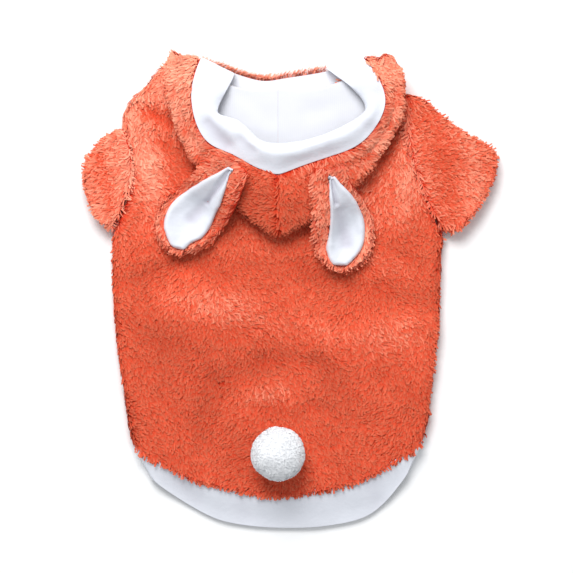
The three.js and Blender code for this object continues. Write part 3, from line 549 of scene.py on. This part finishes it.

# Coral plush is a little redder at the roots of its locks and paler at their tips.
# Its tone, which holds painted shade in creases, painted light on ridges and cut edges, and random
# patches, darkens or lightens it and fades the palest towards a pale coral.
ROOT_COLOUR = (0.88, 0.055, 0.022, 1.0)
YARN_COLOUR = (0.89, 0.083, 0.034, 1.0)
TIP_COLOUR = (0.90, 0.19, 0.098, 1.0)
PALE_COLOUR = (0.97, 0.50, 0.34, 1.0)
plush = bpy.data.materials.new("coral plush")
plush.use_nodes = True
plush_tree = plush.node_tree
plush_shader = plush_tree.nodes["Principled BSDF"]
plush_height = add_node(plush_tree, "ShaderNodeAttribute", attribute_name="height")
plush_tone = add_node(plush_tree, "ShaderNodeAttribute", attribute_name="tone")
plush_ramp = add_node(plush_tree, "ShaderNodeValToRGB", {"Fac": plush_height.outputs["Fac"]})
plush_ramp.color_ramp.elements[0].color = ROOT_COLOUR
plush_ramp.color_ramp.elements[1].color = TIP_COLOUR
plush_ramp.color_ramp.elements.new(0.42).color = YARN_COLOUR
# The tone scales the colour: painted shade and painted light.
plush_shade = add_node(plush_tree, "ShaderNodeMapRange", {
    "Value": plush_tone.outputs["Fac"], "To Min": 0.68, "To Max": 1.10,
})
plush_faded = add_node(plush_tree, "ShaderNodeMapRange", {
    "Value": plush_tone.outputs["Fac"], "From Min": 0.5, "From Max": 1.1, "To Max": 0.75,
})
plush_fade = add_node(plush_tree, "ShaderNodeMix", {
    "Factor": plush_faded.outputs[0], "A": plush_ramp.outputs["Color"], "B": PALE_COLOUR,
}, data_type="RGBA")
plush_mix = add_node(plush_tree, "ShaderNodeVectorMath", {
    0: plush_fade.outputs[2], "Scale": plush_shade.outputs[0],
}, operation="SCALE")
plush_wash = add_node(plush_tree, "ShaderNodeGroup", {}, node_tree=wash)
plush_wash.inputs["Patches per metre"].default_value = 30.0
plush_wash.inputs["Strength"].default_value = 0.07
plush_tree.links.new(plush_mix.outputs[0], plush_wash.inputs["Color"])
plush_tree.links.new(plush_wash.outputs["Color"], plush_shader.inputs["Base Color"])
plush_shader.inputs["Roughness"].default_value = 1.0
plush_shader.inputs["Sheen Weight"].default_value = 0.1
plush_shader.inputs["Sheen Roughness"].default_value = 0.5
plush_shader.inputs["Sheen Tint"].default_value = (1.0, 0.55, 0.4, 1.0)
plush_shader.inputs["Specular IOR Level"].default_value = 0.05

BELLY_CREASES = [
    Crease(-118, 34, -40, 12, -1.1, 10),
    Crease(104, 22, 30, 6, -1.0, 9),
    Crease(-60, -70, -20, -44, -0.9, 9),
    Crease(40, -90, 88, -62, -0.9, 8),
    Crease(-20, 90, 34, 104, -0.8, 9),
]


def plush_piece(node, furred=None, levels=2, depth=PILE_DEPTH):
    """The backing of one plush piece, ready to be creased and combed."""
    cloth = cloth_from(node, node + "_cloth", furred)
    drop_by_pile(cloth, depth)
    smoothed(cloth, levels)
    cloth.data.materials.append(plush)
    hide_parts(node)
    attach(cloth, "root")
    return cloth


THROAT_FROM = 153 * mm
FRINGE_END = 24 * mm


def at_throat(place):
    """True along the throat edge, where the pile stands out past the lining."""
    return place.y > THROAT_FROM and place.z > PILE_DEPTH + 0.3 * mm


belly = plush_piece("belly_panel", furred=((0, 1, 0), 150))
lay_in_folds(belly, BELLY_CREASES, -1, 0.25 * mm, 9 * mm)
comb(belly, "belly_panel", lambda p: 180.0, 75.0, BELLY_CREASES)
belly_pile = grow_pile(belly, "belly_pile", plush, {
    "Spacing": 1.2 * mm, "Length": 4.8 * mm, "Width": 1.3 * mm, "Lean": 0.5, "Seed": 3,
}, lambda p: not at_throat(p))
# The throat fringe is painted at full lightness: painted light through its thin, standing locks.
comb(belly, "belly_panel", lambda p: 90.0, 170.0, lightness=lambda p: 1.0, over=0.0)
throat_fringe = grow_pile(belly, "throat_fringe", plush, {
    "Spacing": 0.5 * mm, "Length": 5.6 * mm, "Width": 0.8 * mm, "Lean": -0.9, "Spread": 0.5,
    "Seed": 4,
}, lambda p: at_throat(p) and p.x < FRINGE_END)

# The back of the body is one panel of the same plush, sewn to the belly down both sides.
# It lies loosely over it, in low folds that run in from the sides and round the tail.
BACK_CREASES = [
    # The first four creases lie beside the hood; through the pile's fold shading they also paint the
    # hood roll's shadow on the back.
    Crease(-106, 136, -88, 128, -2.8, 6),
    Crease(-92, 112, -76, 96, -2.0, 6),
    Crease(78, 128, 68, 104, -2.6, 6),
    Crease(52, 98, 42, 84, -2.0, 6),
    Crease(-70, 92, -60, 84, -1.6, 6),
    Crease(-126, 8, -88, 20, -1.6, 7),
    Crease(-80, 26, -50, 14, -2.0, 9),
    Crease(-30, 18, 8, 22, -1.3, 8),
    Crease(14, 16, 48, 4, -1.9, 9),
    Crease(66, 2, 110, -8, -1.8, 8),
    Crease(58, 44, 100, 20, -1.3, 7),
    Crease(-118, -30, -84, -42, -1.1, 9),
    Crease(-22, -52, -52, -66, -1.9, 8),
    Crease(-54, -72, -66, -108, -1.8, 8),
    Crease(-20, -50, 16, -52, -1.4, 7),
    Crease(20, -54, 44, -80, -1.9, 8),
    Crease(16, -84, 54, -96, -1.4, 7),
    Crease(-20, -88, 8, -92, -1.0, 6),
    Crease(-100, -76, -76, -98, -1.0, 8),
    Crease(70, -60, 98, -80, -1.0, 8),
    Crease(-98, 120, -84, 82, -1.0, 8),
    Crease(78, 118, 64, 84, -1.0, 8),
    Crease(-92, -8, -30, -16, 1.6, 13),
    Crease(34, -34, 84, -28, 1.4, 12),
    Crease(-10, -24, 22, -24, 1.0, 12),
    Crease(-36, -80, -10, -74, 1.2, 9),
    Crease(-108, 96, -104, 62, 1.0, 9),
    Crease(96, 92, 84, 60, 1.0, 10),
]


def clear_of_lining(place):
    """True away from the nape, where the hood's lining lies on the back."""
    return place.y < 137 * mm or not -56 * mm < place.x < 40 * mm


def back_lightness(place):
    """The pile is paler towards the shoulders and darker towards the tail."""
    up = place.y / mm
    return 0.36 + 0.42 * max(0.0, min(1.0, (up - 40) / 90)) - 0.10 * max(0.0, min(1.0, -up / 120))


back = plush_piece("back_panel")
lay_in_folds(back, BACK_CREASES, 1, 0.35 * mm, 8 * mm)
comb(back, "back_panel", lambda p: 180.0 + 130.0 * p.x, 95.0, BACK_CREASES, back_lightness)
FINE_PILE = {"Spacing": 0.56 * mm, "Length": 5.2 * mm, "Width": 0.95 * mm, "Lean": 0.5}
MIDDLE = -9.4 * mm
back_pile_left = grow_pile(
    back, "back_pile_left", plush, {**FINE_PILE, "Seed": 5},
    lambda p: p.x < MIDDLE and clear_of_lining(p),
)
back_pile_right = grow_pile(
    back, "back_pile_right", plush, {**FINE_PILE, "Seed": 6},
    lambda p: p.x >= MIDDLE and clear_of_lining(p),
)

# The hem band is a strip of white fleece folded double and sewn to the body's lower edge.
# Its back part slopes down to the table at the tail, and its belly part lies under it.
FLEECE_COLOUR = (0.755, 0.775, 0.84, 1.0)
# Deep creases in the fleece are darkened towards this grey as painted shade.
PAINTED_CREASE_SHADE = (0.42, 0.38, 0.45, 1.0)
FLEECE_SHADED = 0.8
fleece = bpy.data.materials.new("white fleece")
fleece.use_nodes = True
fleece_tree = fleece.node_tree
fleece_shader = fleece_tree.nodes["Principled BSDF"]
fleece_place = fleece_tree.nodes.new("ShaderNodeTexCoord").outputs["Object"]
fleece_nap = add_node(fleece_tree, "ShaderNodeTexNoise", {
    "Vector": fleece_place, "Scale": 900.0, "Detail": 4.0, "Roughness": 0.65,
})
fleece_tufts = add_node(fleece_tree, "ShaderNodeTexNoise", {
    "Vector": fleece_place, "Scale": 260.0, "Detail": 2.0,
})
fleece_height = arithmetic(
    fleece_tree, "ADD", fleece_nap.outputs[0],
    arithmetic(fleece_tree, "MULTIPLY", fleece_tufts.outputs[0], 1.4),
)
fleece_bump = add_node(fleece_tree, "ShaderNodeBump", {
    "Height": fleece_height, "Strength": 0.45, "Distance": 0.4 * mm,
})
fleece_wash = add_node(fleece_tree, "ShaderNodeGroup", {}, node_tree=wash)
fleece_wash.inputs["Color"].default_value = FLEECE_COLOUR
fleece_wash.inputs["Patches per metre"].default_value = 60.0
fleece_wash.inputs["Strength"].default_value = 0.025
# Crease depth darkens the fleece: painted shade in the creases.
fleece_hollow = add_node(fleece_tree, "ShaderNodeAttribute", attribute_name="hollow")
fleece_crease_shaded = add_node(fleece_tree, "ShaderNodeMix", {
    "Factor": arithmetic(fleece_tree, "MULTIPLY", fleece_hollow.outputs["Fac"], FLEECE_SHADED),
    "A": fleece_wash.outputs["Color"], "B": PAINTED_CREASE_SHADE,
}, data_type="RGBA")
fleece_tree.links.new(fleece_crease_shaded.outputs[2], fleece_shader.inputs["Base Color"])
fleece_tree.links.new(fleece_bump.outputs[0], fleece_shader.inputs["Normal"])
fleece_shader.inputs["Roughness"].default_value = 0.9
fleece_shader.inputs["Sheen Weight"].default_value = 0.3
fleece_shader.inputs["Specular IOR Level"].default_value = 0.2


def white_piece(node, material, levels=2, crispness=EDGE_CREASE, skin_rank=0):
    """A piece of white cloth on its node's form."""
    cloth = cloth_from(node, node + "_cloth", crispness=crispness, skin_rank=skin_rank)
    smoothed(cloth, levels)
    cloth.data.materials.append(material)
    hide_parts(node)
    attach(cloth, "root")
    return cloth


HEM_CREASES = [
    Crease(-88, -140, -70, -158, -0.7, 6),
    Crease(-40, -152, -34, -172, -0.5, 7),
    Crease(18, -152, 22, -174, 0.5, 8),
    Crease(58, -140, 66, -160, -0.6, 6),
    Crease(82, -128, 88, -140, 0.5, 5),
]
hem_back = white_piece("hem_band_back", fleece)
lay_in_folds(hem_back, HEM_CREASES, 1, 0.25 * mm, 14 * mm)
hem_belly = white_piece("hem_band_belly", fleece)

# Two short plush sleeves are sewn into the armholes and lie flat beside the body.
# Their pile is brushed towards the cuffs.
SLEEVE_CREASES = [
    Crease(-140, 100, -132, 62, -0.9, 6),
    Crease(104, 128, 118, 70, -1.0, 8),
    Crease(132, 112, 138, 80, 0.8, 8),
    Crease(112, 100, 142, 92, -0.6, 6),
]
SLEEVE_CUTS = {
    "sleeve_left": ((0.165, 0.035), 0.0044, 265.0, ((-1, 0, 0), 135), 0.68),
    "sleeve_right": ((0.210, 0.062), 0.0093, 95.0, ((0.8, -0.6, 0), 70), 0.62),
}
for seed, (node, (flat, area, heading, cuff, sleeve_light)) in enumerate(SLEEVE_CUTS.items(), 21):
    sleeve = plush_piece(node, furred=cuff)
    lay_in_folds(sleeve, SLEEVE_CREASES, 1, 0.4 * mm, 8 * mm)
    # Each sleeve has its given lightness, falling off to the right: painted shade on the side away
    # from the lamp.
    comb(
        sleeve, node, lambda p: heading, 60.0, SLEEVE_CREASES, lambda p: sleeve_light - 0.4 * p.x, below=0.5
    )
    sleeve_pile = grow_pile(sleeve, node + "_pile", plush, {**FINE_PILE, "Seed": seed})

# The lining at the throat is white jersey, a smooth fine knit. It shows between the ends
# of the face band and is tucked under the nape.
JERSEY_COLOUR = (0.735, 0.74, 0.785, 1.0)
jersey = bpy.data.materials.new("white jersey")
jersey.use_nodes = True
jersey_tree = jersey.node_tree
jersey_shader = jersey_tree.nodes["Principled BSDF"]
jersey_place = jersey_tree.nodes.new("ShaderNodeTexCoord").outputs["Object"]
jersey_turned = add_node(jersey_tree, "ShaderNodeMapping", {
    "Vector": jersey_place, "Location": (0.0094, 0, 0),
})
jersey_ribs = add_node(jersey_tree, "ShaderNodeTexWave", {
    "Vector": jersey_turned.outputs[0], "Scale": 210.0, "Distortion": 1.2, "Detail": 1.0,
}, bands_direction="X")
jersey_loops = add_node(jersey_tree, "ShaderNodeTexNoise", {
    "Vector": jersey_place, "Scale": 1100.0, "Detail": 2.0,
})
jersey_bump = add_node(jersey_tree, "ShaderNodeBump", {
    "Height": arithmetic(
        jersey_tree, "ADD", jersey_ribs.outputs["Fac"], jersey_loops.outputs[0]
    ),
    "Strength": 0.12, "Distance": 0.15 * mm,
})
jersey_wash = add_node(jersey_tree, "ShaderNodeGroup", {}, node_tree=wash)
jersey_wash.inputs["Color"].default_value = JERSEY_COLOUR
jersey_wash.inputs["Patches per metre"].default_value = 45.0
jersey_wash.inputs["Strength"].default_value = 0.02
jersey_tree.links.new(jersey_wash.outputs["Color"], jersey_shader.inputs["Base Color"])
jersey_tree.links.new(jersey_bump.outputs[0], jersey_shader.inputs["Normal"])
jersey_shader.inputs["Roughness"].default_value = 0.75
jersey_shader.inputs["Specular IOR Level"].default_value = 0.3

throat = white_piece("throat_lining", jersey)

# The hood is two halves of plush joined down the middle, thrown back over the shoulders.
# Each half rolls over itself, so its pile runs from the roll down to the back.
HOOD_CREASES = [
    Crease(-92, 150, -78, 146, -0.8, 5),
    Crease(-84, 118, -70, 128, -0.9, 5),
    Crease(-66, 92, -54, 106, -0.8, 5),
    Crease(-38, 66, -28, 84, -0.8, 6),
    Crease(84, 146, 72, 144, -0.8, 5),
    Crease(80, 120, 66, 124, -0.9, 5),
    Crease(60, 94, 48, 104, -0.8, 5),
    Crease(30, 66, 14, 84, -0.8, 6),
]
HOOD_CUTS = {
    "hood_left": ((0.140, 0.150), 0.0118, 235.0),
    "hood_right": ((0.150, 0.150), 0.0134, 125.0),
}


def outside_lining(place):
    """True where the hood's plush isn't covered by its lining."""
    return place.y < 122 * mm or not -60 * mm < place.x < 52 * mm


def hood_lightness(place):
    """The roll beside the face is pale, and the crown between the ears lies in its own shade."""
    return 0.12 + 0.75 * max(0.0, min(1.0, (place.y / mm - 66) / 45))


for seed, (node, (flat, area, heading)) in enumerate(HOOD_CUTS.items(), 31):
    half = plush_piece(node, furred=((0, 1, 0), 168))
    lay_in_folds(half, HOOD_CREASES, 1, 0.4 * mm, 7 * mm)
    comb(
        half, node, lambda p: heading, 80.0, HOOD_CREASES, hood_lightness, below=0.0, over=0.35
    )
    half_pile = grow_pile(half, node + "_pile", plush, {
        **FINE_PILE, "Length": 5.6 * mm, "Lean": 0.35, "Seed": seed,
    }, outside_lining)

# Inside the hood lies a lining of the same jersey, in two halves with a seam down the middle.
# Its neck edge is turned down over the neck seam, and its sides are drawn in under the band.
LINING_CUTS = {
    "hood_lining_left": ((0.125, 0.135), 0.0089, "hood_left"),
    "hood_lining_right": ((0.135, 0.135), 0.0103, "hood_right"),
}
LINING_CREASES = [
    Crease(-36, 146, -16, 128, -0.5, 6),
    Crease(14, 132, 38, 140, -0.5, 6),
    Crease(-28, 122, -14, 118, 0.4, 5),
    Crease(4, 148, 20, 144, 0.4, 6),
]
SEAM_REACH = 0.7 * mm
SEAM_GAP = 0.04 * mm
NAPE_FROM = 136 * mm
NAPE_TOP = 21.0 * mm
NAPE_WALL = 1.2 * mm
NAPE_DROP = 12.2 * mm
NAPE_REACH = 2.0 * mm
NAPE_OUT = 0.5 * mm
TURN_OVER = 0.1
BAND_END = 162 * mm
DRAWN_IN = 3.2 * mm
BAND_SIDE = 48 * mm
for node, (flat, area, hood_node) in LINING_CUTS.items():
    lining = white_piece(node, jersey, skin_rank=1)
    for i, way in rim_directions(lining.data).items():
        place = lining.data.vertices[i].co
        down = (NAPE_TOP - place.z) / NAPE_WALL
        if way.y > 0.25 and place.y > NAPE_FROM and -TURN_OVER < down < 1 + TURN_OVER:
            down = max(0.0, down)
            place.y += NAPE_REACH * math.sin(1.6 * down ** 0.7) + NAPE_OUT
            place.z -= NAPE_DROP * down
    for vertex in lining.data.vertices:
        past = max(0.0, min(1.0, (vertex.co.y - BAND_END) / (10 * mm)))
        beside = max(0.0, min(1.0, (abs(vertex.co.x - MIDDLE) - BAND_SIDE) / (8 * mm)))
        vertex.co.y -= DRAWN_IN * past * past * (1 + 2.2 * beside)
    for vertex in lining.data.vertices:
        away = vertex.co.x - MIDDLE
        if abs(away) < SEAM_REACH:
            vertex.co.x = MIDDLE + math.copysign(SEAM_GAP, away)
    lay_in_folds(lining, LINING_CREASES, 1, 0.2 * mm, 16 * mm)

# A band of white fleece, folded double, is sewn round the face opening.
# It rolls up in a soft ridge at the crown and ends square at the throat.
BAND_CREASES = [
    Crease(-61, 124, -47, 108, -2.4, 5),
    Crease(-53, 132, -33, 122, 1.2, 3.5),
    Crease(-31, 120, -23, 107, 1.2, 3.5),
    Crease(-18, 104, 8, 101, 0.9, 4),
    Crease(-37, 112, -29, 103, -1.5, 4),
    Crease(26, 111, 32, 99, -0.9, 5),
    Crease(50, 128, 60, 120, -1.1, 5),
    Crease(-56, 152, -68, 150, -0.7, 5),
    Crease(54, 150, 66, 148, -0.7, 5),
]
band = white_piece("hood_band", fleece, crispness=0.6)
lay_in_folds(band, BAND_CREASES, 1, 0.3 * mm, 9 * mm)

# Two bunny ears hang from the crown: plush outside and white fleece inside.
# Each is folded at its root and has a soft crease down its length.
EAR_HOLLOWS = [
    Crease(-46, 87, -63, 65, -3.6, 2.2),
    Crease(-67, 61, -74, 53, -2.4, 5.0),
    Crease(29.5, 85, 34.5, 64, -3.6, 2.0),
    Crease(37, 58, 42, 34, -2.4, 4.6),
]
EAR_ROLLS = [
    Crease(-58, 83, -86, 62, 1.0, 5),
    Crease(-47, 72, -60, 50, 1.0, 4),
    Crease(29, 72, 30, 34, 1.1, 3.5),
    Crease(42, 74, 53, 46, 1.0, 4),
]
EAR_CUTS = {
    "ear_left": ((0.048, 0.094), (0.038, 0.074), 0.0039, 0.0019, 225.0),
    "ear_right": ((0.048, 0.084), (0.032, 0.068), 0.0035, 0.0016, 180.0),
}
EAR_TIPS = {
    "ear_left": (Vector((-84.2, 31.0)) * mm, Vector((-0.25, -0.97))),
    "ear_right": (Vector((37.4, 18.6)) * mm, Vector((-0.04, -1.0))),
}
TIP_LENGTH = 11 * mm
TIP_PASSES = 45
FULLNESS = 2.3 * mm
ROLL_RISE = 2.4 * mm
ROLL_REACH = 2.6 * mm
SUNK = 0.6 * mm
SEATED = 2.4 * mm
ROOT_FADE = 38 * mm
ROOT_SHARE = 1.6


def puff_up(inside, tip, outwards):
    """Rolls the edge up softly round a hollow middle, rounds the tip and seats it in the pile."""
    vertices = inside.data.vertices
    upper = outer_normals(inside.data)
    rims = rim_directions(inside.data)
    edge = [(vertices[i].co.xy.to_3d(), rims[i].xy) for i in upper if i in rims]
    nearest = KDTree(len(edge))
    for i, (place, way) in enumerate(edge):
        nearest.insert(place, i)
    nearest.balance()
    for i, vertex in enumerate(vertices):
        _, closest, inward = nearest.find(vertex.co.xy.to_3d())
        inward /= ROLL_REACH
        if i in upper:
            vertex.co.z += ROLL_RISE * inward * math.exp(1 - inward) - SUNK
        else:
            vertex.co.z -= SUNK + SEATED
        along = (vertex.co.xy - tip).dot(outwards)
        wide = min(1.0, max(0.0, along / ROOT_FADE + ROOT_SHARE))
        facing = edge[closest][1]
        sideways = facing - outwards * facing.dot(outwards)
        vertex.co.xy += sideways * FULLNESS * wide * math.exp(-inward)
    shape = bmesh.new()
    shape.from_mesh(inside.data)
    end = [vert for vert in shape.verts if (vert.co.xy - tip).dot(outwards) > -TIP_LENGTH]
    for _ in range(TIP_PASSES):
        bmesh.ops.smooth_vert(shape, verts=end, factor=0.5, use_axis_x=True, use_axis_y=True)
    shape.to_mesh(inside.data)
    shape.free()


for seed, (ear, (flat, inner_flat, area, inner_area, heading)) in enumerate(EAR_CUTS.items(), 41):
    outside = plush_piece(ear + "_outer")
    pressed = [hollow._replace(rise=hollow.rise * 0.5) for hollow in EAR_HOLLOWS]
    lay_in_folds(outside, pressed, 1, 0.4 * mm, 7 * mm)
    comb(
        outside, ear + "_outer", lambda p: heading, 55.0, lightness=lambda p: 0.7, below=0.6,
        over=0.2, under=[ear + "_inner"],
    )
    ear_pile = grow_pile(outside, ear + "_pile", plush, {
        **FINE_PILE, "Seed": seed,
    })
    inside = white_piece(ear + "_inner", fleece, levels=3, crispness=0.3, skin_rank=1)
    puff_up(inside, *EAR_TIPS[ear])
    lay_in_folds(inside, EAR_HOLLOWS + EAR_ROLLS, 1, 0.3 * mm, 9 * mm)

# The tail is a pompom of white fleece, gathered over stuffing and sewn on above the hem.
# A short fuzz stands all over it.
POMPOM_COLOUR = (0.92, 0.93, 0.95, 1.0)
fluff = bpy.data.materials.new("white fluff")
fluff.use_nodes = True
fluff_shader = fluff.node_tree.nodes["Principled BSDF"]
fluff_wash = add_node(fluff.node_tree, "ShaderNodeGroup", {}, node_tree=wash)
fluff_wash.inputs["Color"].default_value = POMPOM_COLOUR
fluff_wash.inputs["Patches per metre"].default_value = 90.0
fluff_wash.inputs["Strength"].default_value = 0.03
fluff.node_tree.links.new(fluff_wash.outputs["Color"], fluff_shader.inputs["Base Color"])
fluff_shader.inputs["Roughness"].default_value = 0.95
fluff_shader.inputs["Sheen Weight"].default_value = 0.2
fluff_shader.inputs["Specular IOR Level"].default_value = 0.1

pompom = white_piece("tail_pompom", fluff, levels=3)
LUMP_HEIGHT = 0.7
LUMP_SIZE = 8 * mm
middle = Vector((-9.4, -122.2, 31.5)) * mm
for vertex in pompom.data.vertices:
    away = (vertex.co - middle).normalized()
    vertex.co += away * LUMP_HEIGHT * mm * noise.noise(vertex.co / LUMP_SIZE)
comb(pompom, "tail_pompom", lambda p: 180.0, 180.0)
pompom_fuzz = grow_pile(pompom, "tail_pompom_fuzz", fluff, {
    "Spacing": 0.7 * mm, "Length": 2.0 * mm, "Width": 0.6 * mm, "Lean": 0.5, "Spread": 1.5,
    "Seed": 51,
})
